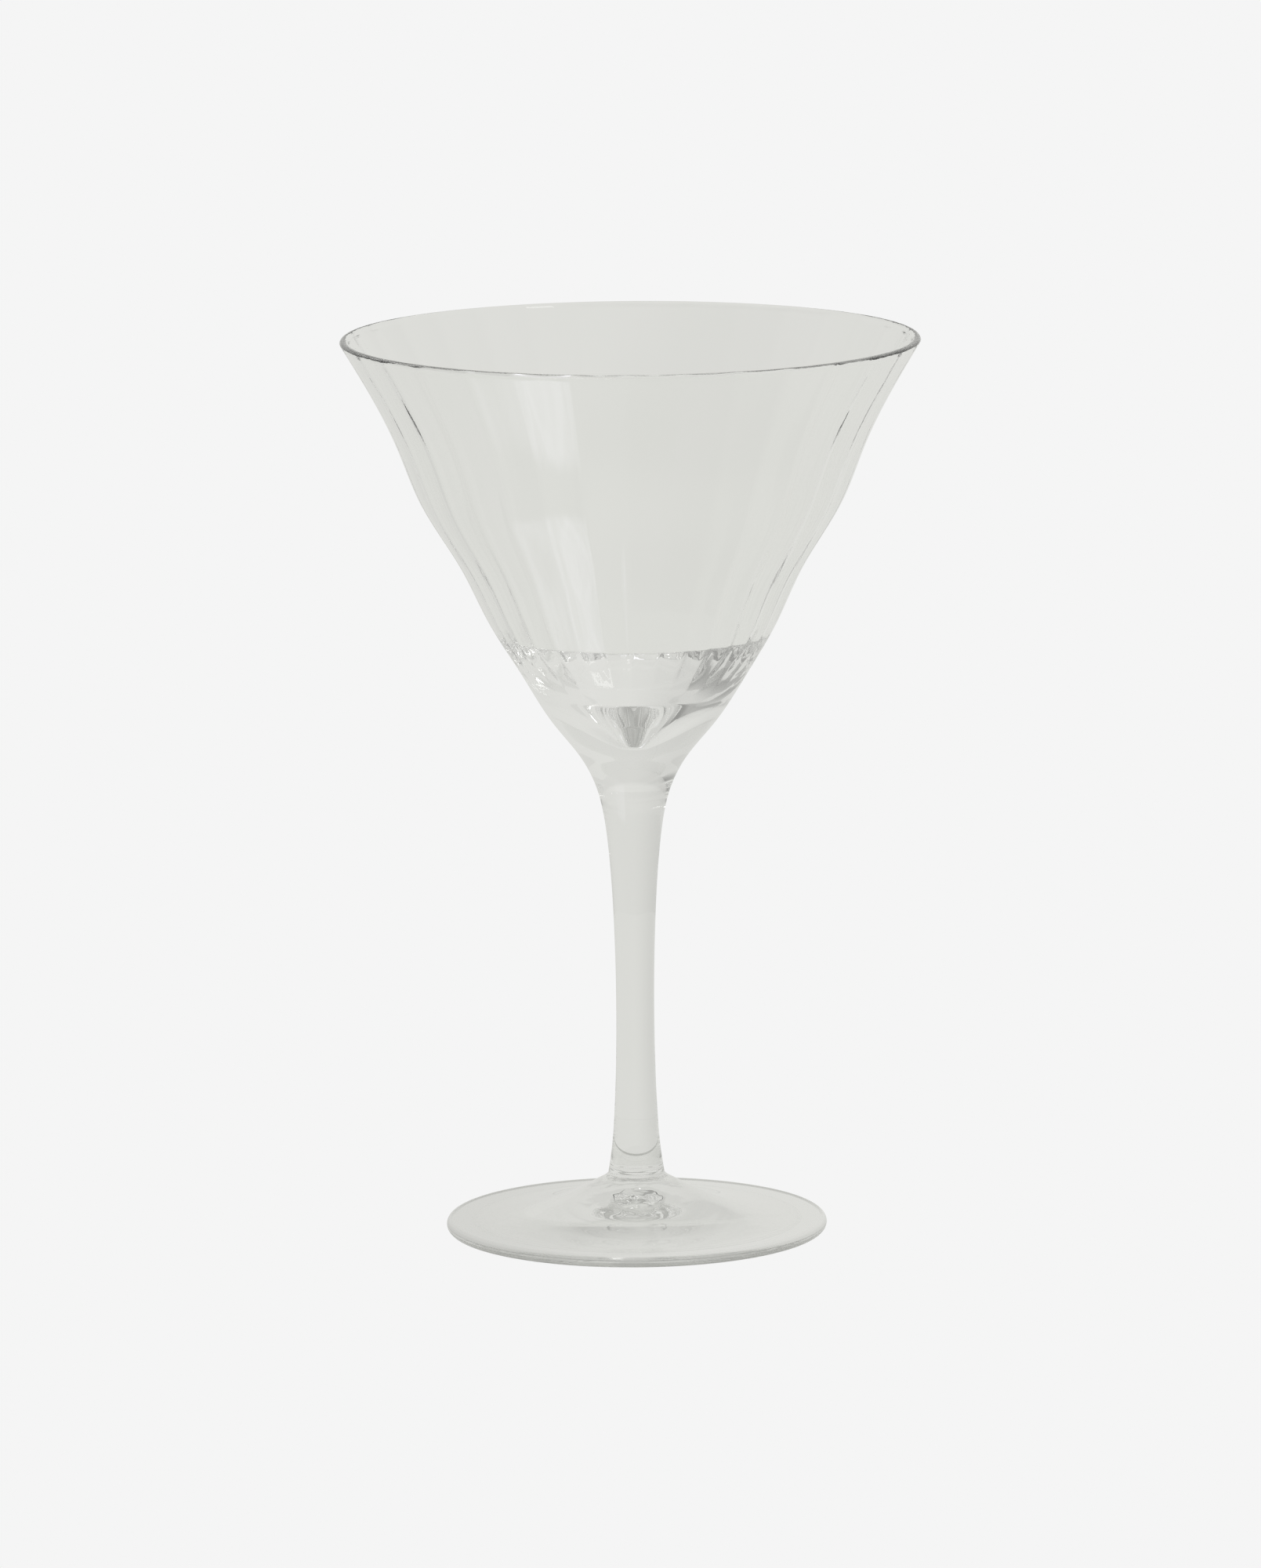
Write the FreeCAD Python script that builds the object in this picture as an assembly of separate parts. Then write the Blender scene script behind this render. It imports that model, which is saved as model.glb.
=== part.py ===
import FreeCAD, Part
import math
import os

# Stemmed martini glass, mouth-blown into a ribbed mould and hot-joined from three
# gathers of glass: the bowl, the drawn stem and the pressed foot.
# Units are millimetres. The foot stands on z = 0 and the axis of the glass is +Z.

# ---- driving dimensions -------------------------------------------------------------
HEIGHT = 180.0          # standing surface to the top of the lip
RIM_RADIUS = 57.5       # outside of the bowl just under the lip
FOOT_RADIUS = 38.1      # outside of the foot
STEM_RADIUS = 3.8       # thinnest part of the stem
BOWL_JOINT = 90.0       # height of the joint between stem and bowl
FOOT_JOINT = 11.4       # height of the joint between foot and stem
BOWL_JOINT_RADIUS = 7.5
FOOT_JOINT_RADIUS = 5.65

# ---- bowl ---------------------------------------------------------------------------
LIP_THICKNESS = 1.5     # glass at the lip
WALL_AT_FLOOR = 1.5     # glass at the bottom of the blown wall, measured level
FLOOR_EDGE = 121.3      # height where the inside turns from wall to floor
FLOOR_ROUNDING = 1.2
FUNNEL_BEND = (13.5, 110.2)      # radius and height where the floor turns a little flatter
FUNNEL_BEND_ROUNDING = 6.0
FUNNEL_WAIST = (7.0, 105.9)      # where it turns a little steeper again
FUNNEL_WAIST_ROUNDING = 10.0
TIP_RADIUS = 1.6        # rounded tip of the funnel
TIP_HEIGHT = 101.7
TIP_ROUNDING = 2.4
TIP_FLAT = 0.7          # radius of the flat spot at the tip
SAG = 0.35              # sideways drift of the thick base of the bowl, towards +X
SAG_HEIGHT = 113.0
SAG_SPREAD = 12.0

# ---- optic ribs: shallow flat panels around the bowl, edge to edge ------------------
PANELS = 32
PANEL_TURN = -0.7       # degrees from the front (-Y) to the nearest panel edge
RIB_OUTSIDE = 0.04      # how far a panel's middle lies inside its edges, outer face
RIB_INSIDE = 0.30       # the same for the inner face
RIB_START = 110.0       # the ribs fade in from here
RIB_FULL = 128.0        # and have their full depth from here

# ---- foot ---------------------------------------------------------------------------
FOOT_EDGE = 2.5         # thickness of the foot at its edge
FOOT_HOLLOW = 5.7       # rise of the hollow underside at the axis
RING_INNER = 33.0       # flat ring that the glass stands on
RING_OUTER = 36.9

POLES_PER_PANEL = 8     # control points across one panel


# ---- outside of stem and bowl in one smooth curve, (radius, height) -----------------
SILHOUETTE = [
    (FOOT_JOINT_RADIUS, FOOT_JOINT),
    (4.95, 16.0),
    (4.3, 24.0),
    (STEM_RADIUS, 45.0),
    (4.3, 66.0),
    (5.4, 80.0),
    (BOWL_JOINT_RADIUS, BOWL_JOINT),
    (10.6, 96.0),
    (16.2, 103.0),
    (22.6, 113.0),
    (28.6, 123.0),     # swelling at the top of the solid base
    (33.9, 134.0),
    (42.2, 148.0),     # shoulder
    (46.2, 158.0),     # hollow above the shoulder
    (51.5, 169.0),
    (RIM_RADIUS, HEIGHT - LIP_THICKNESS / 2),
]


def curve_through(knots):
    """A smooth curve through (radius, height) knots."""
    curve = Part.BSplineCurve()
    curve.interpolate([FreeCAD.Vector(radius, 0, height) for radius, height in knots])
    return curve


def side_curve():
    """The smooth outside of stem and bowl, and where on it the two meet."""
    curve = curve_through(SILHOUETTE)
    joint = curve.parameter(FreeCAD.Vector(BOWL_JOINT_RADIUS, 0, BOWL_JOINT))
    return curve, joint


def points_along(shape, spacing):
    """Points (radius, height) at even spacing along an edge or a wire."""
    count = max(round(shape.Length / spacing), 1) + 1
    return [(point.x, point.z) for point in shape.discretize(Number=count)]


def fade(value, start, end):
    """0 before start, 1 after end, and a smooth step between them."""
    t = min(max((value - start) / (end - start), 0.0), 1.0)
    return t * t * (3.0 - 2.0 * t)


def panel_shape(angle):
    """0 at a panel's edges and about -1 in its middle: a polygon with rounded corners."""
    turn = PANELS * (angle + math.pi / 2 - math.radians(PANEL_TURN))
    waves = sum(math.cos(k * turn) / k**2 for k in (1, 2, 3))
    return 0.405 * waves - 0.55


def ribbed_skin(line, depth):
    """A closed skin around the axis through (radius, height) rows, with panels pressed in."""
    columns = PANELS * POLES_PER_PANEL
    rounding = 3.0 / (2.0 + math.cos(2 * math.pi / columns))
    poles = []
    for column in range(columns):
        angle = 2 * math.pi * column / columns
        strip = []
        for radius, height in line:
            rib = depth * fade(height, RIB_START, RIB_FULL) * fade(HEIGHT - height, 0.0, 0.8)
            reach = (radius + rib * panel_shape(angle)) * rounding
            drift = SAG * math.exp(-((height - SAG_HEIGHT) / SAG_SPREAD) ** 2)
            x = reach * math.cos(angle) + drift
            y = reach * math.sin(angle)
            strip.append(FreeCAD.Vector(x, y, height))
        poles.append(strip)
    spans = len(line) - 3
    around = list(range(columns + 1))
    along = list(range(spans + 1))
    surface = Part.BSplineSurface()
    surface.buildFromPolesMultsKnots(
        poles,
        [1] * len(around),
        [4] + [1] * (spans - 1) + [4],
        around,
        along,
        True,
        False,
        3,
        3,
    )
    return surface.toShape()


def ring_edge(face, height):
    """The closed edge of a face at the given height."""
    level = [
        edge
        for edge in face.Edges
        if abs(edge.BoundBox.ZMin - height) < 1e-6 and abs(edge.BoundBox.ZMax - height) < 1e-6
    ]
    return Part.Wire(level)


def solid_from(faces):
    """One closed solid from faces that meet edge to edge."""
    shell = Part.Shell(faces)
    shell.sewShape()
    solid = Part.Solid(shell)
    if solid.Volume < 0:
        solid.reverse()
    return solid


def outer_line():
    """Outside of the bowl, from the joint up over the lip to its crest."""
    curve, joint = side_curve()
    wall = curve.toShape(joint, curve.LastParameter)
    return points_along(wall, 2.0) + lip_quarter(LIP_THICKNESS / 2)


def lip_quarter(side):
    """Rounding from one side of the lip to its crest; side is + outside, - inside."""
    middle = RIM_RADIUS - LIP_THICKNESS / 2
    level = HEIGHT - LIP_THICKNESS / 2
    points = []
    for angle in (22.5, 45.0, 67.5):
        turn = math.radians(angle)
        across = middle + side * math.cos(turn)
        up = level + LIP_THICKNESS / 2 * math.sin(turn)
        points.append((across, up))
    points.append((middle + side * 0.15, HEIGHT))
    return points


def rounded_line(corners, roundings, spacing):
    """Points along straight runs between corners, each inner corner rounded by an arc."""
    places = [FreeCAD.Vector(radius, 0, height) for radius, height in corners]
    points = []
    start = places[0]
    for before, corner, after, radius in zip(places, places[1:], places[2:], roundings):
        back = (before - corner).normalize()
        ahead = (after - corner).normalize()
        half = back.getAngle(ahead) / 2
        reach = radius / math.tan(half)
        middle = (back + ahead).normalize() * (radius / math.sin(half) - radius)
        arc = Part.Arc(corner + back * reach, corner + middle, corner + ahead * reach)
        points += points_along(Part.makeLine(start, corner + back * reach), spacing)[:-1]
        points += points_along(arc.toShape(), min(spacing, arc.length() / 3))[:-1]
        start = corner + ahead * reach
    return points + points_along(Part.makeLine(start, places[-1]), spacing)


def inner_line(outside):
    """Inside of the bowl, from the crest of the lip down to the tip of the floor."""
    wall = []
    for radius, height in reversed(outside):
        if FLOOR_EDGE + FLOOR_ROUNDING < height <= HEIGHT - LIP_THICKNESS / 2:
            low = (HEIGHT - height) / (HEIGHT - FLOOR_EDGE)
            glass = LIP_THICKNESS + (WALL_AT_FLOOR - LIP_THICKNESS) * low
            wall.append((radius - glass, height))
    slope = (wall[-2][0] - wall[-1][0]) / (wall[-2][1] - wall[-1][1])
    edge_radius = wall[-1][0] - slope * (wall[-1][1] - FLOOR_EDGE)
    floor = rounded_line(
        [
            wall[-1],
            (edge_radius, FLOOR_EDGE),
            FUNNEL_BEND,
            FUNNEL_WAIST,
            (TIP_RADIUS, TIP_HEIGHT),
            (TIP_FLAT, TIP_HEIGHT),
        ],
        (FLOOR_ROUNDING, FUNNEL_BEND_ROUNDING, FUNNEL_WAIST_ROUNDING, TIP_ROUNDING),
        1.0,
    )
    crest = list(reversed(lip_quarter(-LIP_THICKNESS / 2)))
    return crest + wall[:-1] + floor


def make_bowl():
    """Ribbed wall, solid base and the funnel-shaped floor inside."""
    outside = outer_line()
    outer = ribbed_skin(outside, RIB_OUTSIDE)
    inner = ribbed_skin(inner_line(outside), RIB_INSIDE)
    crest = Part.Face([ring_edge(outer, HEIGHT), ring_edge(inner, HEIGHT)])
    joint = Part.Face(ring_edge(outer, BOWL_JOINT))
    tip = Part.Face(ring_edge(inner, TIP_HEIGHT))
    return solid_from([outer, inner, crest, joint, tip])


def spin(edges):
    """A solid of revolution about the axis from the edges of its closed half outline."""
    outline = Part.Wire(Part.__sortEdges__(edges))
    return Part.Face(outline).revolve(FreeCAD.Vector(), FreeCAD.Vector(0, 0, 1), 360)


def line(start, end):
    """A straight edge between two (radius, height) points."""
    return Part.makeLine(FreeCAD.Vector(start[0], 0, start[1]), FreeCAD.Vector(end[0], 0, end[1]))


def make_stem():
    """Solid drawn stem, waisted, flaring to meet the bowl and the foot."""
    curve, joint = side_curve()
    bottom = (FOOT_JOINT_RADIUS, FOOT_JOINT)
    top = (BOWL_JOINT_RADIUS, BOWL_JOINT)
    return spin([
        curve.toShape(curve.FirstParameter, joint),
        line(top, (0, BOWL_JOINT)),
        line((0, BOWL_JOINT), (0, FOOT_JOINT)),
        line((0, FOOT_JOINT), bottom),
    ])


def make_foot():
    """Round foot: domed towards the stem, hollowed underneath, standing on a flat ring."""
    hub = (FOOT_JOINT_RADIUS, FOOT_JOINT)
    shoulder = (FOOT_RADIUS - 0.9, FOOT_EDGE)
    top = curve_through([
        hub,
        (6.25, 10.85),
        (7.5, 10.1),
        (10.0, 8.75),
        (14.0, 6.8),
        (19.0, 4.9),
        (25.0, 3.5),
        (31.0, 2.7),
        shoulder,
    ])
    edge = Part.Arc(
        FreeCAD.Vector(shoulder[0], 0, shoulder[1]),
        FreeCAD.Vector(FOOT_RADIUS, 0, FOOT_EDGE / 2),
        FreeCAD.Vector(RING_OUTER, 0, 0),
    )
    # the first knot only makes the underside level at the axis
    under = curve_through([
        (-3.5, FOOT_HOLLOW - 0.4),
        (0.0, FOOT_HOLLOW),
        (3.5, FOOT_HOLLOW - 0.4),
        (8.0, 4.1),
        (14.0, 2.6),
        (20.0, 1.4),
        (28.0, 0.35),
        (RING_INNER, 0.0),
    ])
    axis_place = under.parameter(FreeCAD.Vector(0, 0, FOOT_HOLLOW))
    return spin([
        top.toShape(),
        edge.toShape(),
        line((RING_OUTER, 0), (RING_INNER, 0)),
        under.toShape(axis_place, under.LastParameter),
        line((0, FOOT_HOLLOW), (0, FOOT_JOINT)),
        line((0, FOOT_JOINT), hub),
    ])


def main():
    os.makedirs("parts", exist_ok=True)
    shapes = {"bowl": make_bowl(), "stem": make_stem(), "foot": make_foot()}
    for name, shape in shapes.items():
        shape.exportStep("parts/" + name + ".step")
        print(name, shape.isValid(), round(shape.Volume), shape.BoundBox)


main()
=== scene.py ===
import math

import bmesh
import bpy
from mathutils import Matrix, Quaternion, Vector


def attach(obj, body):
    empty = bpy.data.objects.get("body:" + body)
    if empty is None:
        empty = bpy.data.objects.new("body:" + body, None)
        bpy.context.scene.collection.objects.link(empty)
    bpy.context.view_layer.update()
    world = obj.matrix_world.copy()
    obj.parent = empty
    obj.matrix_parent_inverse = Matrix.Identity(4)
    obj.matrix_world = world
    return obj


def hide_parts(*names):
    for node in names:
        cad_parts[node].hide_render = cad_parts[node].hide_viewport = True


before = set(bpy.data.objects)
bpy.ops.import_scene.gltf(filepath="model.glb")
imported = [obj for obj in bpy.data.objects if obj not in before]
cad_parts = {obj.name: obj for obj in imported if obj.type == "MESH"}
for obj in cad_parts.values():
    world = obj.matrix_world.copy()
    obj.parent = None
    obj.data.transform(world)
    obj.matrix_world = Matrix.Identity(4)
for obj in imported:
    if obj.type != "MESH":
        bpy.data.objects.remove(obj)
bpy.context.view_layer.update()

MM = 0.001

# ---- sizes of the glass, in millimetres, the same as in the CAD model -------------------
HEIGHT = 180.0
RIM_RADIUS = 57.5
FOOT_RADIUS = 38.1
STEM_RADIUS = 3.8
BOWL_JOINT = 90.0
FOOT_JOINT = 11.4
BOWL_JOINT_RADIUS = 7.5
FOOT_JOINT_RADIUS = 5.65
LIP_THICKNESS = 1.5
WALL_AT_FLOOR = 1.5
FLOOR_EDGE = 121.3               # height where the wall turns into the floor inside
FLOOR_ROUNDING = 1.2
FUNNEL_BEND = (13.5, 110.2)      # where the floor turns a little flatter
FUNNEL_BEND_ROUNDING = 6.0
FUNNEL_WAIST = (7.0, 105.9)      # where it turns a little steeper again
FUNNEL_WAIST_ROUNDING = 10.0
TIP_RADIUS = 1.6
TIP_HEIGHT = 101.7
TIP_ROUNDING = 2.4
SAG = 0.35                       # how far the bowl's base leans to one side
SAG_HEIGHT = 113.0
SAG_SPREAD = 12.0
PANELS = 32
PANEL_TURN = math.radians(-0.7)
PANEL_WAVES = 0.405              # share of a rib's depth in the waves that make a panel
PANEL_LEVEL = 0.55               # lowers them so that a panel's edges come out at 0
RIB_OUTSIDE = 0.04
RIB_INSIDE = 0.30
RIB_START = 110.0                # the ribs fade in from here
RIB_FULL = 128.0
RIB_END = 0.8                    # and fade out this close below the lip's crest
FOOT_EDGE = 2.5
FOOT_EDGE_INSET = 0.9            # how far inside the foot's edge its top starts
FOOT_HOLLOW = 5.7
RING_INNER = 33.0                # the flat ring that the glass stands on
RING_OUTER = 36.9

# ---- mesh resolution, spacings in millimetres -------------------------------------------
STEPS_PER_PANEL = 14
ROUND_STEPS = 256
BOWL_SPACING = 0.7
FUNNEL_SPACING = 0.5
STEM_SPACING = 0.5
UNDER_SPACING = 0.8
TOP_SPACING = 0.4
LIP_STEPS = 8                    # over a quarter of the lip's rounding
FOOT_EDGE_STEPS = 16
ARC_STEP = math.radians(9)
JOINT_MARGIN = 0.02              # share of a step: a narrow ring keeps the shading even there
SKIN_SLOT = 0
SEAM_SLOT = 1

# ---- camera, in metres ------------------------------------------------------------------
CAMERA_PLACE = (0.0, -2.0613, 0.4479)
CAMERA_LENS = 241.2
CAMERA_PITCH = math.radians(-9.841)
CAMERA_TURN = math.radians(-0.0168)
CAMERA_ROLL = math.radians(0.44)

# ---- studio, linear brightness ----------------------------------------------------------
WHITE = (1.0, 1.0, 1.0, 1.0)
BACKDROP = 0.913                 # what the camera sees round the glass
SURROUND = 0.735                 # what the glass itself sees: the same studio, in shade
STUDIO_TINT = (1.0, 1.0, 0.965, 1.0)
DARK_SIDE = (-0.6, -0.8, 0.0)
DARK_LEVEL = 0.30
FLOOR_HALF = 6.0
POOL_LIGHT = 0.9                 # added where the bowl throws its light on the floor
POOL_TINT = (0.98, 0.95, 1.1, 1.0)
POOL_START = math.radians(-150)  # the sharp edge of the pool, as an angle round the foot
POOL_END = math.radians(-85)
POOL_STREAKS = (6.0, 1.0)        # how many a radian, thrown by the ribs, and their detail
BOUNCES = 64

# A fade is (start, end, value before the start, value after the end), smooth between.
STUDIO_BY_SIDE = (0.25, 0.85, SURROUND, DARK_LEVEL)  # by the cosine of the angle to DARK_SIDE
STUDIO_BY_HEIGHT = (0.3, 0.38, 1.0, 0.92)            # a little dimmer overhead
STUDIO_BY_WIDTH = (-0.8, 0.1, 0.88, 1.0)             # a little dimmer to the left
FLOOR_BY_DISTANCE = (0.012, 0.022, 0.62, SURROUND)   # shade under the middle of the foot
POOL_NEAR = (0.06, 0.09, 0.0, 1.0)                   # by the distance from the axis
POOL_FAR = (0.15, 0.175, 1.0, 0.0)
POOL_SHARP_EDGE = (POOL_START, POOL_START + 0.04, 0.0, 1.0)  # by the angle round the foot
POOL_SOFT_EDGE = (POOL_START + 0.1, POOL_END, POOL_LIGHT, 0.0)
POOL_BETWEEN_STREAKS = (0.35, 0.6, 0.4, 1.0)

# ---- glass, lengths in metres -----------------------------------------------------------
GLASS_IOR = 1.5
EVENLY = (1.0, 1.0, 1.0)
LINE_DEPTH = 0.000002            # of the fine lines along the bowl and the stem
FILM = (0.5, 0.75)               # the part of the noise where a film from handling shows
FOOT_TINT = (0.937, 0.942, 0.93)
# painted shade: the colour that the foot's tint darkens to, low on its edge and at the middle of its
# hollow
FOOT_PAINTED_SHADE_TINT = (0.16, 0.165, 0.15)
FOOT_WAVES = (EVENLY, 60.0, 1.0)  # a noise: squeeze in x, y and z, features a metre, detail
FOOT_WAVE_DEPTH = 0.00008
LUMPS = (EVENLY, 330.0, 1.0)
LUMP_DEPTH = 0.0003
RINGS = (1800.0, 2.0)            # a noise along one line: features a metre, detail
RING_DEPTH = 0.000035
HUB_SHADE_LEVEL = 0.55                # how dark the painted shade at the middle of the foot's hollow is
RINGS_BY_RADIUS = (0.029, 0.0365, 0.0, 1.0)
LUMPS_BY_RADIUS = (0.004, 0.011, 1.0, 0.0)
# painted shade low on the foot's edge: by radius, by height, and broken into streaks by the rings
EDGE_SHADE_BY_RADIUS = (0.0368, 0.0374, 0.0, 1.0)
EDGE_SHADE_BY_HEIGHT = (0.0006, 0.0027, 1.0, 0.0)
EDGE_SHADE_BY_RINGS = (0.4, 0.62, 0.45, 1.0)
# painted shade at the middle of the foot's hollow, which the stem shows as the shade under the foot
HUB_SHADE_BY_RADIUS = (0.005, 0.008, 1.0, 0.0)
HUB_SHADE_BY_HEIGHT = (0.006, 0.0075, HUB_SHADE_LEVEL, 0.0)
WEAR_BY_HEIGHT = (0.00005, 0.0006, 0.3, 0.0)


# ---- camera -----------------------------------------------------------------------------
def make_camera():
    """A long lens, a little above the rim, looking slightly down and very slightly rolled."""
    data = bpy.data.cameras.new("camera")
    data.sensor_width = 36.0
    data.lens = CAMERA_LENS
    data.clip_start = 0.05
    data.clip_end = 60.0
    camera = bpy.data.objects.new("camera", data)
    bpy.context.scene.collection.objects.link(camera)
    camera.location = CAMERA_PLACE
    level = math.cos(CAMERA_PITCH)
    aim = Vector((math.sin(CAMERA_TURN) * level, math.cos(CAMERA_TURN) * level, math.sin(CAMERA_PITCH)))
    camera.rotation_mode = "QUATERNION"
    camera.rotation_quaternion = Quaternion(aim, CAMERA_ROLL) @ aim.to_track_quat("-Z", "Y")
    bpy.context.scene.camera = camera


# ---- smooth outlines --------------------------------------------------------------------
def between(start, end, share):
    """The point a share of the way from start to end."""
    return (start[0] + (end[0] - start[0]) * share, start[1] + (end[1] - start[1]) * share)


def natural_bends(places, values):
    """Second derivatives of the natural cubic spline through values at places."""
    count = len(places)
    lower = [0.0] * count
    diagonal = [1.0] * count
    upper = [0.0] * count
    right = [0.0] * count
    for i in range(1, count - 1):
        before = places[i] - places[i - 1]
        after = places[i + 1] - places[i]
        lower[i] = before
        diagonal[i] = 2 * (before + after)
        upper[i] = after
        rise_after = (values[i + 1] - values[i]) / after
        rise_before = (values[i] - values[i - 1]) / before
        right[i] = 6 * (rise_after - rise_before)
    for i in range(1, count):
        share = lower[i] / diagonal[i - 1]
        diagonal[i] -= share * upper[i - 1]
        right[i] -= share * right[i - 1]
    bends = [0.0] * count
    for i in range(count - 2, 0, -1):
        bends[i] = (right[i] - upper[i] * bends[i + 1]) / diagonal[i]
    return bends


def spline_value(places, values, bends, at):
    """Value of the cubic spline at one place."""
    i = 0
    while i < len(places) - 2 and at > places[i + 1]:
        i += 1
    span = places[i + 1] - places[i]
    a = (places[i + 1] - at) / span
    b = 1.0 - a
    curve = (a**3 - a) * bends[i] + (b**3 - b) * bends[i + 1]
    return a * values[i] + b * values[i + 1] + curve * span**2 / 6


def smooth_line(knots, spacing, first=0, last=None):
    """Points (radius, height) about evenly spaced along a smooth curve through the knots.

    first and last pick the stretch of the curve between two of its knots."""
    places = [0.0]
    for one, other in zip(knots, knots[1:]):
        places.append(places[-1] + math.dist(one, other))
    radii = [knot[0] for knot in knots]
    heights = [knot[1] for knot in knots]
    radius_bends = natural_bends(places, radii)
    height_bends = natural_bends(places, heights)
    start = places[first]
    end = places[-1] if last is None else places[last]
    count = max(2, round((end - start) / spacing) + 1)
    line = []
    for step in range(count):
        at = start + (end - start) * step / (count - 1)
        radius = spline_value(places, radii, radius_bends, at)
        height = spline_value(places, heights, height_bends, at)
        line.append((max(radius, 0.0), height))
    if first > 0:
        line.insert(1, between(line[0], line[1], JOINT_MARGIN))
    if last is not None:
        line.insert(-1, between(line[-1], line[-2], JOINT_MARGIN))
    return line


def fill_line(line, end, spacing):
    """Goes straight on from the line's last point to end, in even steps."""
    start = line[-1]
    steps = max(1, round(math.dist(start, end) / spacing))
    for step in range(1, steps + 1):
        line.append(between(start, end, step / steps))


def corner_arc(before, corner, after, radius):
    """Points of the arc that rounds a corner, from where it leaves the run before it."""
    back = Vector(before) - Vector(corner)
    ahead = Vector(after) - Vector(corner)
    half = back.angle(ahead) / 2
    reach = radius / math.tan(half)
    start = Vector(corner) + back.normalized() * reach
    end = Vector(corner) + ahead.normalized() * reach
    inwards = (back.normalized() + ahead.normalized()).normalized()
    centre = Vector(corner) + inwards * radius / math.sin(half)
    sweep = math.pi - 2 * half
    steps = max(3, math.ceil(sweep / ARC_STEP))
    first = start - centre
    turn = sweep if first.cross(end - centre) > 0 else -sweep
    points = [tuple(start)]
    for step in range(1, steps + 1):
        angle = turn * step / steps
        x = first.x * math.cos(angle) - first.y * math.sin(angle)
        y = first.x * math.sin(angle) + first.y * math.cos(angle)
        points.append((centre.x + x, centre.y + y))
    return points


def rounded_line(corners, roundings, spacing):
    """Points along straight runs between corners, with each inner corner rounded by an arc."""
    line = [corners[0]]
    for before, corner, after, radius in zip(corners, corners[1:], corners[2:], roundings):
        arc = corner_arc(before, corner, after, radius)
        fill_line(line, arc[0], spacing)
        line += arc[1:]
    fill_line(line, corners[-1], spacing)
    return line


def fade(value, start, end):
    """0 before start, 1 after end, and a smooth step between them."""
    t = min(max((value - start) / (end - start), 0.0), 1.0)
    return t * t * (3.0 - 2.0 * t)


# ---- outlines of the glass, (radius, height) --------------------------------------------
# The outside from the foot joint to the rim is one flowing line.
SILHOUETTE = [
    (FOOT_JOINT_RADIUS, FOOT_JOINT),
    (4.95, 16.0),
    (4.3, 24.0),
    (STEM_RADIUS, 45.0),
    (4.3, 66.0),
    (5.4, 80.0),
    (BOWL_JOINT_RADIUS, BOWL_JOINT),
    (10.6, 96.0),
    (16.2, 103.0),
    (22.6, 113.0),
    (28.6, 123.0),
    (33.9, 134.0),
    (42.2, 148.0),
    (46.2, 158.0),
    (51.5, 169.0),
    (RIM_RADIUS, HEIGHT - LIP_THICKNESS / 2),
]
JOINT_KNOT = SILHOUETTE.index((BOWL_JOINT_RADIUS, BOWL_JOINT))

# Underside of the foot: its first knot only makes the curve level at the axis.
FOOT_UNDER = [
    (-3.5, FOOT_HOLLOW - 0.4),
    (0.0, FOOT_HOLLOW),
    (3.5, FOOT_HOLLOW - 0.4),
    (8.0, 4.1),
    (14.0, 2.6),
    (20.0, 1.4),
    (28.0, 0.35),
    (RING_INNER, 0.0),
]
FOOT_TOP = [
    (FOOT_RADIUS - FOOT_EDGE_INSET, FOOT_EDGE),
    (31.0, 2.7),
    (25.0, 3.5),
    (19.0, 4.9),
    (14.0, 6.8),
    (10.0, 8.75),
    (7.5, 10.1),
    (6.25, 10.85),
    (FOOT_JOINT_RADIUS, FOOT_JOINT),
]


def lip_quarter(side):
    """Rounding from one side of the lip to its crest; side is + outside, - inside."""
    middle = RIM_RADIUS - LIP_THICKNESS / 2
    level = HEIGHT - LIP_THICKNESS / 2
    points = []
    for step in range(1, LIP_STEPS + 1):
        turn = math.pi / 2 * step / LIP_STEPS
        points.append((middle + side * math.cos(turn), level + LIP_THICKNESS / 2 * math.sin(turn)))
    return points


def outer_line():
    """Outside of the bowl, from the joint up over the lip to its crest."""
    return smooth_line(SILHOUETTE, BOWL_SPACING, first=JOINT_KNOT) + lip_quarter(LIP_THICKNESS / 2)


def inner_wall(outside):
    """Inside of the wall, from the lip down to just above the floor, and its lower edge."""
    wall = []
    for radius, height in reversed(outside):
        if FLOOR_EDGE + FLOOR_ROUNDING < height <= HEIGHT - LIP_THICKNESS / 2:
            low = (HEIGHT - height) / (HEIGHT - FLOOR_EDGE)
            glass = LIP_THICKNESS + (WALL_AT_FLOOR - LIP_THICKNESS) * low
            wall.append((radius - glass, height))
    slope = (wall[-2][0] - wall[-1][0]) / (wall[-2][1] - wall[-1][1])
    edge_radius = wall[-1][0] - slope * (wall[-1][1] - FLOOR_EDGE)
    return wall, (edge_radius, FLOOR_EDGE)


def inner_line(outside):
    """Inside of the bowl, from just inside the lip's crest down to the tip of the floor."""
    wall, edge = inner_wall(outside)
    corners = [wall[-1], edge, FUNNEL_BEND, FUNNEL_WAIST, (TIP_RADIUS, TIP_HEIGHT), (0.0, TIP_HEIGHT)]
    roundings = (FLOOR_ROUNDING, FUNNEL_BEND_ROUNDING, FUNNEL_WAIST_ROUNDING, TIP_ROUNDING)
    crest = list(reversed(lip_quarter(-LIP_THICKNESS / 2)[:-1]))
    return crest + wall[:-1] + rounded_line(corners, roundings, FUNNEL_SPACING)


def circle_through(one, middle, other):
    """Centre and radius of the circle through three points."""
    ax = one[0] - middle[0]
    az = one[1] - middle[1]
    bx = other[0] - middle[0]
    bz = other[1] - middle[1]
    cross = 2 * (ax * bz - az * bx)
    ux = (bz * (ax**2 + az**2) - az * (bx**2 + bz**2)) / cross
    uz = (ax * (bx**2 + bz**2) - bx * (ax**2 + az**2)) / cross
    return (middle[0] + ux, middle[1] + uz), math.hypot(ux, uz)


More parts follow.
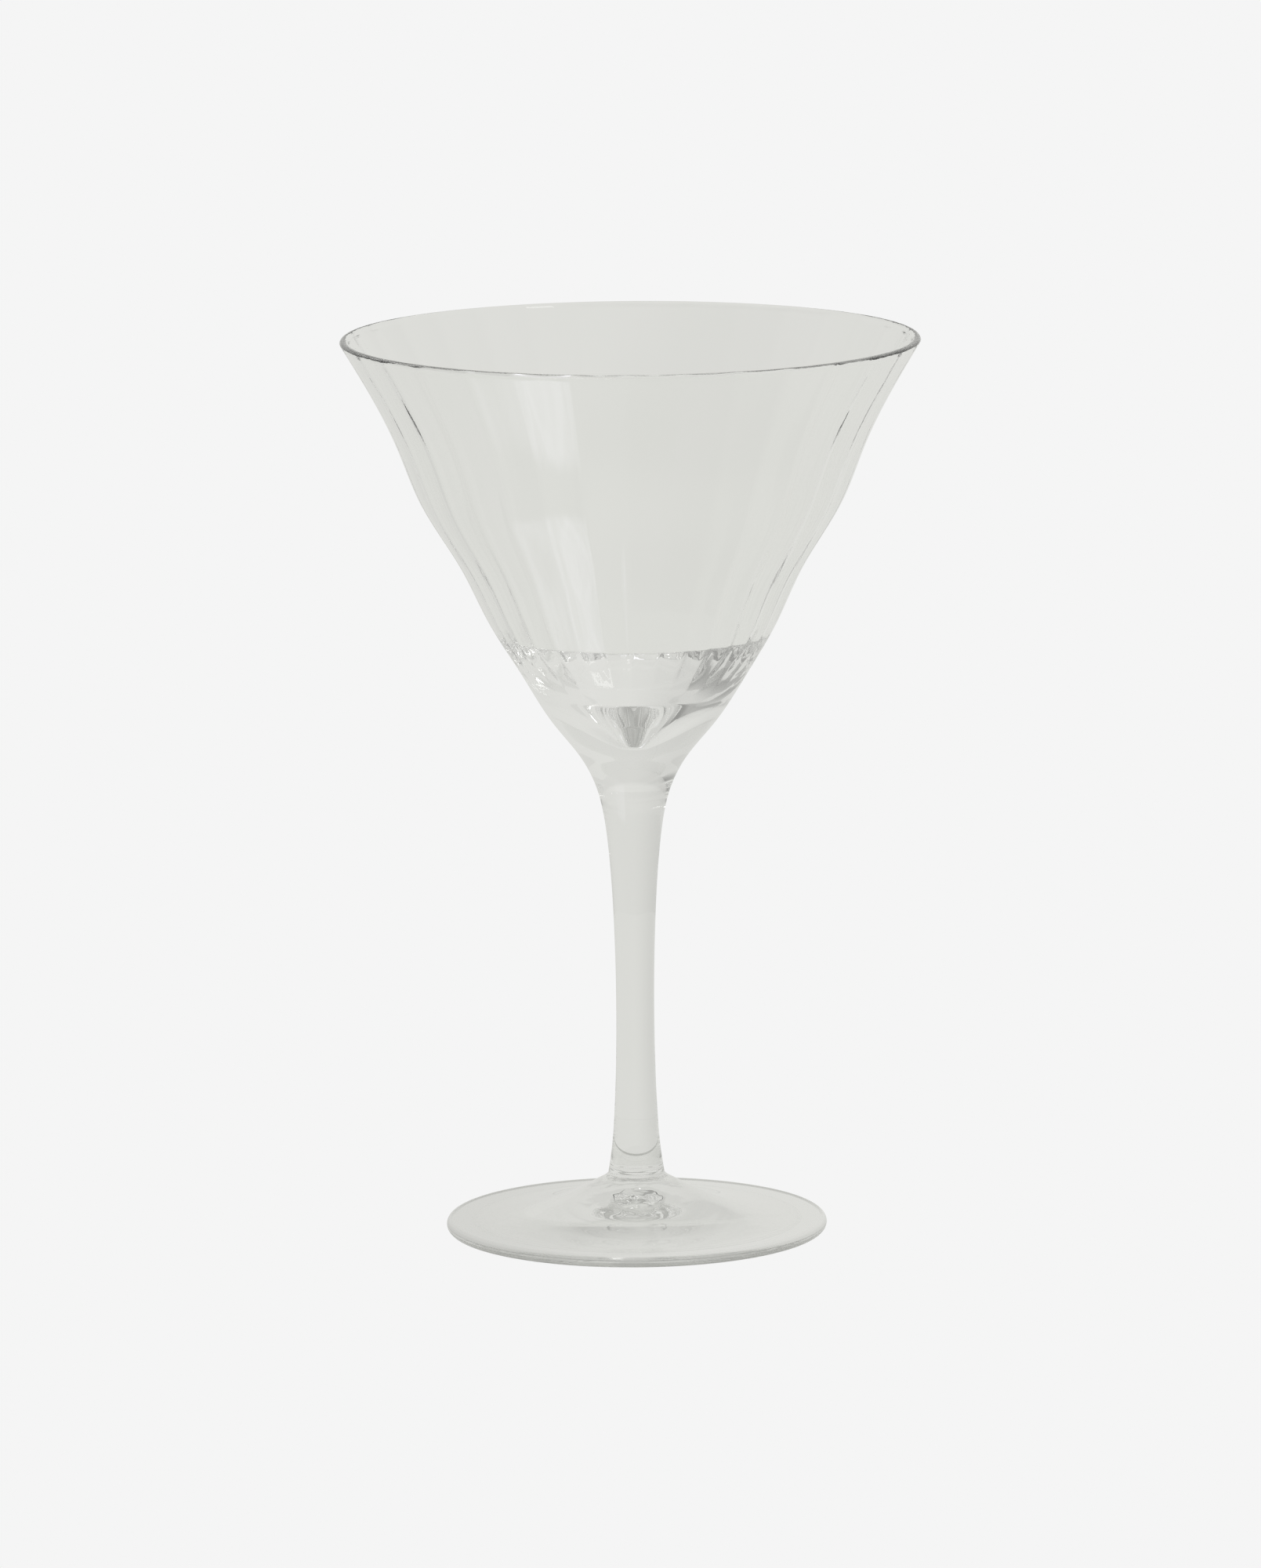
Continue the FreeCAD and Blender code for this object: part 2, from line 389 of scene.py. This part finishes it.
def foot_edge():
    """Rounded edge of the foot, between the standing ring and the start of its top."""
    low = (RING_OUTER, 0.0)
    top = FOOT_TOP[0]
    centre, radius = circle_through(low, (FOOT_RADIUS, FOOT_EDGE / 2), top)
    start = math.atan2(low[1] - centre[1], low[0] - centre[0])
    end = math.atan2(top[1] - centre[1], top[0] - centre[0])
    line = []
    for step in range(1, FOOT_EDGE_STEPS):
        turn = start + (end - start) * step / FOOT_EDGE_STEPS
        line.append((centre[0] + radius * math.cos(turn), centre[1] + radius * math.sin(turn)))
    return line


# ---- ribs and hand-made unevenness ------------------------------------------------------
def panel_shape(angle):
    """0 at a panel's edges and -0.9 in its middle: a polygon with rounded corners."""
    turn = PANELS * (angle + math.pi / 2 - PANEL_TURN)
    waves = sum(math.cos(k * turn) / k**2 for k in (1, 2, 3))
    return PANEL_WAVES * waves - PANEL_LEVEL


def ribbed_point(radius, height, angle, depth):
    """A point of the bowl's skin, in metres, with its rib and the sag of its base."""
    rib = depth * fade(height, RIB_START, RIB_FULL) * fade(HEIGHT - height, 0.0, RIB_END)
    reach = radius + rib * panel_shape(angle)
    drift = SAG * math.exp(-((height - SAG_HEIGHT) / SAG_SPREAD) ** 2)
    return Vector((reach * math.cos(angle) + drift, reach * math.sin(angle), height)) * MM


def outside_point(radius, height, angle):
    """A point of the bowl's outside, in metres."""
    return ribbed_point(radius, height, angle, RIB_OUTSIDE)


def inside_point(radius, height, angle):
    """A point of the bowl's inside, in metres."""
    return ribbed_point(radius, height, angle, RIB_INSIDE)


def round_point(radius, height, angle):
    """A point of a plain turned surface, in metres."""
    return Vector((radius * math.cos(angle), radius * math.sin(angle), height)) * MM


# ---- mesh building ----------------------------------------------------------------------
def add_ring(mesh, radius, height, steps, place):
    """One ring of vertices, or a single vertex on the axis."""
    if radius < 1e-6:
        return [mesh.verts.new(place(0.0, height, 0.0))]
    start = PANEL_TURN - math.pi / 2
    ring = []
    for i in range(steps):
        ring.append(mesh.verts.new(place(radius, height, start + 2 * math.pi * i / steps)))
    return ring


def add_rings(mesh, line, steps, place):
    """One ring of vertices for each point of an outline."""
    return [add_ring(mesh, radius, height, steps, place) for radius, height in line]


def join_rings(mesh, first, second):
    """Faces between two rings; outward is to the right of the way from first to second."""
    steps = max(len(first), len(second))
    for i in range(steps):
        j = (i + 1) % steps
        if len(first) == 1:
            corners = (first[0], second[j], second[i])
        elif len(second) == 1:
            corners = (first[i], first[j], second[0])
        else:
            corners = (first[i], first[j], second[j], second[i])
        face = mesh.faces.new(corners)
        face.smooth = True
        face.material_index = SKIN_SLOT


def join_all(mesh, rings):
    """The skin over all the rings, in order."""
    for first, second in zip(rings, rings[1:]):
        join_rings(mesh, first, second)


def add_seam(mesh, ring):
    """The flat fused face across a ring."""
    face = mesh.faces.new(ring)
    face.material_index = SEAM_SLOT


def finish_piece(mesh, name, node, materials):
    """Turns a bmesh into a named piece that stands for a CAD node."""
    data = bpy.data.meshes.new(name)
    mesh.to_mesh(data)
    mesh.free()
    for material in materials:
        data.materials.append(material)
    piece = bpy.data.objects.new(name, data)
    bpy.context.scene.collection.objects.link(piece)
    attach(piece, "root")
    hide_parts(node)


def make_bowl(glass, seam):
    """Ribbed wall, lip, solid base with its funnel, and the fused face towards the stem."""
    mesh = bmesh.new()
    steps = PANELS * STEPS_PER_PANEL
    outside = outer_line()
    rings = add_rings(mesh, outside, steps, outside_point)
    rings += add_rings(mesh, inner_line(outside), steps, inside_point)
    join_all(mesh, rings)
    add_seam(mesh, list(reversed(rings[0])))
    finish_piece(mesh, "bowl_glass", "bowl", [glass, seam])


def make_stem(glass, seam):
    """Drawn stem with a fused face at each end."""
    mesh = bmesh.new()
    side = smooth_line(SILHOUETTE, STEM_SPACING, last=JOINT_KNOT)
    rings = add_rings(mesh, side, ROUND_STEPS, round_point)
    join_all(mesh, rings)
    add_seam(mesh, list(reversed(rings[0])))
    add_seam(mesh, rings[-1])
    finish_piece(mesh, "stem_glass", "stem", [glass, seam])


def make_foot(glass, seam):
    """Foot: hollow underside, standing ring, rounded edge, domed top and fused hub."""
    mesh = bmesh.new()
    under = smooth_line(FOOT_UNDER, UNDER_SPACING, first=1)
    top = smooth_line(FOOT_TOP, TOP_SPACING)
    outline = under + [(RING_OUTER, 0.0)] + foot_edge() + top
    rings = add_rings(mesh, outline, ROUND_STEPS, round_point)
    join_all(mesh, rings)
    add_seam(mesh, rings[-1])
    finish_piece(mesh, "foot_glass", "foot", [glass, seam])


# ---- node helpers -----------------------------------------------------------------------
def new_material(name):
    """An empty node material: the material, its tree and its output node."""
    material = bpy.data.materials.new(name)
    material.use_nodes = True
    tree = material.node_tree
    tree.nodes.clear()
    return material, tree, tree.nodes.new("ShaderNodeOutputMaterial")


def calculate(tree, operation, first, second):
    """Result of one sum, product or other step of arithmetic on two values."""
    result = tree.nodes.new("ShaderNodeMath")
    result.operation = operation
    tree.links.new(first, result.inputs[0])
    tree.links.new(second, result.inputs[1])
    return result.outputs["Value"]


def multiply(tree, first, *others):
    """Product of two or more values."""
    product = first
    for other in others:
        product = calculate(tree, "MULTIPLY", product, other)
    return product


def multiply_vector(tree, vector, factors):
    """A vector with its x, y and z each multiplied by a factor."""
    product = tree.nodes.new("ShaderNodeVectorMath")
    product.operation = "MULTIPLY"
    product.inputs[1].default_value = factors
    tree.links.new(vector, product.inputs[0])
    return product.outputs["Vector"]


def length_of(tree, vector):
    """Length of a vector."""
    length = tree.nodes.new("ShaderNodeVectorMath")
    length.operation = "LENGTH"
    tree.links.new(vector, length.inputs[0])
    return length.outputs["Value"]


def part_of(tree, vector, axis):
    """The X, Y or Z of a vector."""
    parts = tree.nodes.new("ShaderNodeSeparateXYZ")
    tree.links.new(vector, parts.inputs["Vector"])
    return parts.outputs[axis]


def faded(tree, value, start, end, before, after):
    """before where value is below start, after where it is above end, smooth between."""
    step = tree.nodes.new("ShaderNodeMapRange")
    step.interpolation_type = "SMOOTHSTEP"
    step.inputs["From Min"].default_value = start
    step.inputs["From Max"].default_value = end
    step.inputs["To Min"].default_value = before
    step.inputs["To Max"].default_value = after
    tree.links.new(value, step.inputs["Value"])
    return step.outputs["Result"]


def noise(tree, place, stretch, features, detail):
    """Soft noise from 0 to 1 with so many features a metre, squeezed by a factor each way."""
    texture = tree.nodes.new("ShaderNodeTexNoise")
    texture.inputs["Scale"].default_value = features
    texture.inputs["Detail"].default_value = detail
    tree.links.new(multiply_vector(tree, place, stretch), texture.inputs["Vector"])
    return texture.outputs["Fac"]


def line_noise(tree, value, features, detail):
    """Soft noise from 0 to 1 that changes with one value alone."""
    texture = tree.nodes.new("ShaderNodeTexNoise")
    texture.noise_dimensions = "1D"
    texture.inputs["Scale"].default_value = features
    texture.inputs["Detail"].default_value = detail
    tree.links.new(value, texture.inputs["W"])
    return texture.outputs["Fac"]


# ---- materials --------------------------------------------------------------------------
def new_glass(name):
    """Clear soda glass: its material, tree and shader, and where it is being shaded."""
    material, tree, output = new_material(name)
    shader = tree.nodes.new("ShaderNodeBsdfPrincipled")
    shader.inputs["Transmission Weight"].default_value = 1.0
    shader.inputs["IOR"].default_value = GLASS_IOR
    tree.links.new(shader.outputs["BSDF"], output.inputs["Surface"])
    place = tree.nodes.new("ShaderNodeTexCoord").outputs["Object"]
    return material, tree, shader, place


def set_tint(tree, shader, amount, low, high):
    """Colour of the glass, from low where the amount is 0 to high where it is 1."""
    mix = tree.nodes.new("ShaderNodeMix")
    mix.data_type = "RGBA"
    mix.inputs["A"].default_value = (*low, 1.0)
    mix.inputs["B"].default_value = (*high, 1.0)
    tree.links.new(amount, mix.inputs["Factor"])
    tree.links.new(mix.outputs["Result"], shader.inputs["Base Color"])


def set_relief(tree, shader, reliefs):
    """Unevenness of the surface: pairs of a height from 0 to 1 and its depth in metres."""
    normal = None
    for height, depth in reliefs:
        bump = tree.nodes.new("ShaderNodeBump")
        bump.inputs["Distance"].default_value = depth
        tree.links.new(height, bump.inputs["Height"])
        if normal:
            tree.links.new(normal, bump.inputs["Normal"])
        normal = bump.outputs["Normal"]
    tree.links.new(normal, shader.inputs["Normal"])


def worked_glass(name, waves, wave_depth, lines, film, film_roughness, tints):
    """Glass shaped while hot: slow waves, fine lines and a trace of a film from handling."""
    material, tree, shader, place = new_glass(name)
    wave = noise(tree, place, *waves)
    line = noise(tree, place, *lines)
    smear = noise(tree, place, *film)
    set_tint(tree, shader, wave, *tints)
    set_relief(tree, shader, [(wave, wave_depth), (line, LINE_DEPTH)])
    tree.links.new(faded(tree, smear, *FILM, 0.0, film_roughness), shader.inputs["Roughness"])
    return material


def bowl_look():
    """Blown glass, with its lines upright."""
    return worked_glass(
        "bowl_glass_look",
        waves=((1.0, 1.0, 0.35), 60.0, 1.0),
        wave_depth=0.00006,
        lines=((1.0, 1.0, 0.03), 900.0, 2.0),
        film=(EVENLY, 35.0, 4.0),
        film_roughness=0.012,
        tints=((0.985, 0.992, 0.98), (1.0, 1.0, 0.997)),
    )


def stem_look():
    """Drawn glass, with its lines along the stem."""
    return worked_glass(
        "stem_glass_look",
        waves=((1.0, 1.0, 0.2), 180.0, 1.0),
        wave_depth=0.00002,
        lines=((1.0, 1.0, 0.02), 1400.0, 2.0),
        film=(EVENLY, 60.0, 4.0),
        film_roughness=0.01,
        tints=((0.945, 0.95, 0.94), (0.965, 0.97, 0.96)),
    )


def foot_reliefs(tree, place, radius, rings, near_edge):
    """Waves all over the foot, lumps near the hub and pressed rings near the edge."""
    waves = noise(tree, place, *FOOT_WAVES)
    lumps = noise(tree, place, *LUMPS)
    near_hub = faded(tree, radius, *LUMPS_BY_RADIUS)
    return [
        (waves, FOOT_WAVE_DEPTH),
        (multiply(tree, lumps, near_hub), LUMP_DEPTH),
        (multiply(tree, rings, near_edge), RING_DEPTH),
    ]


def foot_painted_shade(tree, radius, height, rings):
    """1 where the painted shade is darkest: low on the foot's edge, in streaks, and at the middle of
    the hollow.
    """
    # painted shade that darkens the tint low on the foot's edge, in streaks
    edge = faded(tree, radius, *EDGE_SHADE_BY_RADIUS)
    low = faded(tree, height, *EDGE_SHADE_BY_HEIGHT)
    edge_shade_streaks = faded(tree, rings, *EDGE_SHADE_BY_RINGS)
    # painted shade at the middle of the hollow, seen down the stem
    hub_shade = multiply(tree, faded(tree, radius, *HUB_SHADE_BY_RADIUS), faded(tree, height, *HUB_SHADE_BY_HEIGHT))
    return calculate(tree, "ADD", multiply(tree, edge, low, edge_shade_streaks), hub_shade)


def foot_look():
    """Pressed glass: fine rings towards the edge, painted shade low on the edge and at the middle of
    the hollow, and worn where it stands.
    """
    material, tree, shader, place = new_glass("foot_glass_look")
    radius = length_of(tree, multiply_vector(tree, place, (1.0, 1.0, 0.0)))
    height = part_of(tree, place, "Z")
    rings = line_noise(tree, calculate(tree, "SUBTRACT", radius, height), *RINGS)
    near_edge = faded(tree, radius, *RINGS_BY_RADIUS)
    set_relief(tree, shader, foot_reliefs(tree, place, radius, rings, near_edge))
    # the tint darkens to painted shade low on the edge and at the middle of the hollow
    set_tint(tree, shader, foot_painted_shade(tree, radius, height, rings), FOOT_TINT, FOOT_PAINTED_SHADE_TINT)
    worn = multiply(tree, faded(tree, height, *WEAR_BY_HEIGHT), near_edge)
    tree.links.new(worn, shader.inputs["Roughness"])
    return material


def seam_material():
    """Fused joint inside the glass: nothing shows where two gathers melted together."""
    material, tree, output = new_material("fused_seam")
    clear = tree.nodes.new("ShaderNodeBsdfTransparent")
    tree.links.new(clear.outputs["BSDF"], output.inputs["Surface"])
    return material


# ---- studio -----------------------------------------------------------------------------
def camera_or_studio(tree, kind, studio):
    """The even backdrop where the camera sees it directly, and the studio for the glass.

    kind is the type of node that gives off light: one for the world, one for the floor."""
    seen = tree.nodes.new(kind)
    seen.inputs["Color"].default_value = WHITE
    seen.inputs["Strength"].default_value = BACKDROP
    path = tree.nodes.new("ShaderNodeLightPath")
    mix = tree.nodes.new("ShaderNodeMixShader")
    tree.links.new(path.outputs["Is Camera Ray"], mix.inputs["Fac"])
    tree.links.new(studio, mix.inputs[1])
    tree.links.new(seen.outputs[0], mix.inputs[2])
    return mix.outputs["Shader"]


def glow(tree, kind, colour, strength):
    """A shader of the given kind that gives off light of one colour."""
    shader = tree.nodes.new(kind)
    shader.inputs["Color"].default_value = colour
    tree.links.new(strength, shader.inputs["Strength"])
    return shader.outputs[0]


def make_world():
    """Pale studio all round: shaded to the front left, a little dimmer left and overhead."""
    world = bpy.data.worlds.new("studio")
    bpy.context.scene.world = world
    world.use_nodes = True
    tree = world.node_tree
    tree.nodes.clear()
    output = tree.nodes.new("ShaderNodeOutputWorld")
    direction = tree.nodes.new("ShaderNodeTexCoord").outputs["Generated"]
    towards = tree.nodes.new("ShaderNodeVectorMath")
    towards.operation = "DOT_PRODUCT"
    towards.inputs[1].default_value = DARK_SIDE
    tree.links.new(direction, towards.inputs[0])
    side = faded(tree, towards.outputs["Value"], *STUDIO_BY_SIDE)
    above = faded(tree, part_of(tree, direction, "Z"), *STUDIO_BY_HEIGHT)
    across = faded(tree, part_of(tree, direction, "X"), *STUDIO_BY_WIDTH)
    studio = glow(tree, "ShaderNodeBackground", STUDIO_TINT, multiply(tree, side, above, across))
    mixed = camera_or_studio(tree, "ShaderNodeBackground", studio)
    tree.links.new(mixed, output.inputs["Surface"])


def pool_of_light(tree, position, distance):
    """Extra light that the bowl throws on the floor, in a wedge in front to the left."""
    turn = calculate(tree, "ARCTAN2", part_of(tree, position, "X"), part_of(tree, position, "Y"))
    near = faded(tree, distance, *POOL_NEAR)
    far = faded(tree, distance, *POOL_FAR)
    sharp_edge = faded(tree, turn, *POOL_SHARP_EDGE)
    soft_edge = faded(tree, turn, *POOL_SOFT_EDGE)
    flutes = faded(tree, line_noise(tree, turn, *POOL_STREAKS), *POOL_BETWEEN_STREAKS)
    return multiply(tree, multiply(tree, sharp_edge, soft_edge, flutes), multiply(tree, near, far))


def floor_look():
    """Pale floor of the backdrop's tone; the glass sees its shade and its pool of light."""
    material, tree, output = new_material("studio_floor")
    position = tree.nodes.new("ShaderNodeNewGeometry").outputs["Position"]
    distance = length_of(tree, position)
    under = faded(tree, distance, *FLOOR_BY_DISTANCE)
    sideways = calculate(tree, "DIVIDE", part_of(tree, position, "X"), distance)
    across = faded(tree, sideways, *STUDIO_BY_WIDTH)
    studio = glow(tree, "ShaderNodeEmission", STUDIO_TINT, multiply(tree, under, across))
    pool = glow(tree, "ShaderNodeEmission", POOL_TINT, pool_of_light(tree, position, distance))
    both = tree.nodes.new("ShaderNodeAddShader")
    tree.links.new(studio, both.inputs[0])
    tree.links.new(pool, both.inputs[1])
    mixed = camera_or_studio(tree, "ShaderNodeEmission", both.outputs["Shader"])
    tree.links.new(mixed, output.inputs["Surface"])
    material.cycles.emission_sampling = "NONE"
    return material


def make_floor():
    """Seamless floor under the foot."""
    corners = [
        (-FLOOR_HALF, -FLOOR_HALF, 0),
        (FLOOR_HALF, -FLOOR_HALF, 0),
        (FLOOR_HALF, FLOOR_HALF, 0),
        (-FLOOR_HALF, FLOOR_HALF, 0),
    ]
    data = bpy.data.meshes.new("floor")
    data.from_pydata(corners, [], [(0, 1, 2, 3)])
    data.materials.append(floor_look())
    floor = bpy.data.objects.new("floor", data)
    bpy.context.scene.collection.objects.link(floor)


def softbox(name, place, target, width, height, radiance):
    """A rectangular studio light of the given brightness, not seen directly."""
    data = bpy.data.lights.new(name, "AREA")
    data.shape = "RECTANGLE"
    data.size = width
    data.size_y = height
    data.energy = radiance * math.pi * width * height
    light = bpy.data.objects.new(name, data)
    light.location = place
    light.rotation_mode = "QUATERNION"
    light.rotation_quaternion = (Vector(target) - Vector(place)).to_track_quat("-Z", "Y")
    light.visible_camera = False
    bpy.context.scene.collection.objects.link(light)
    return light


def make_lights():
    """One tall softbox in front to the right, above the glass, that leaves no reflection."""
    key = softbox(
        "key_light",
        place=(0.95, -1.2, 0.6),
        target=(0, 0, 0.14),
        width=0.3,
        height=0.55,
        radiance=2.5,
    )
    key.visible_glossy = False


def render_choices():
    """Enough bounces for light to pass through thick glass, and plain colour handling."""
    scene = bpy.context.scene
    scene.view_settings.view_transform = "Standard"
    scene.cycles.max_bounces = BOUNCES
    scene.cycles.transmission_bounces = BOUNCES
    scene.cycles.glossy_bounces = BOUNCES
    scene.cycles.transparent_max_bounces = BOUNCES


make_camera()
seam_look = seam_material()
make_bowl(bowl_look(), seam_look)
make_stem(stem_look(), seam_look)
make_foot(foot_look(), seam_look)
make_world()
make_floor()
make_lights()
render_choices()
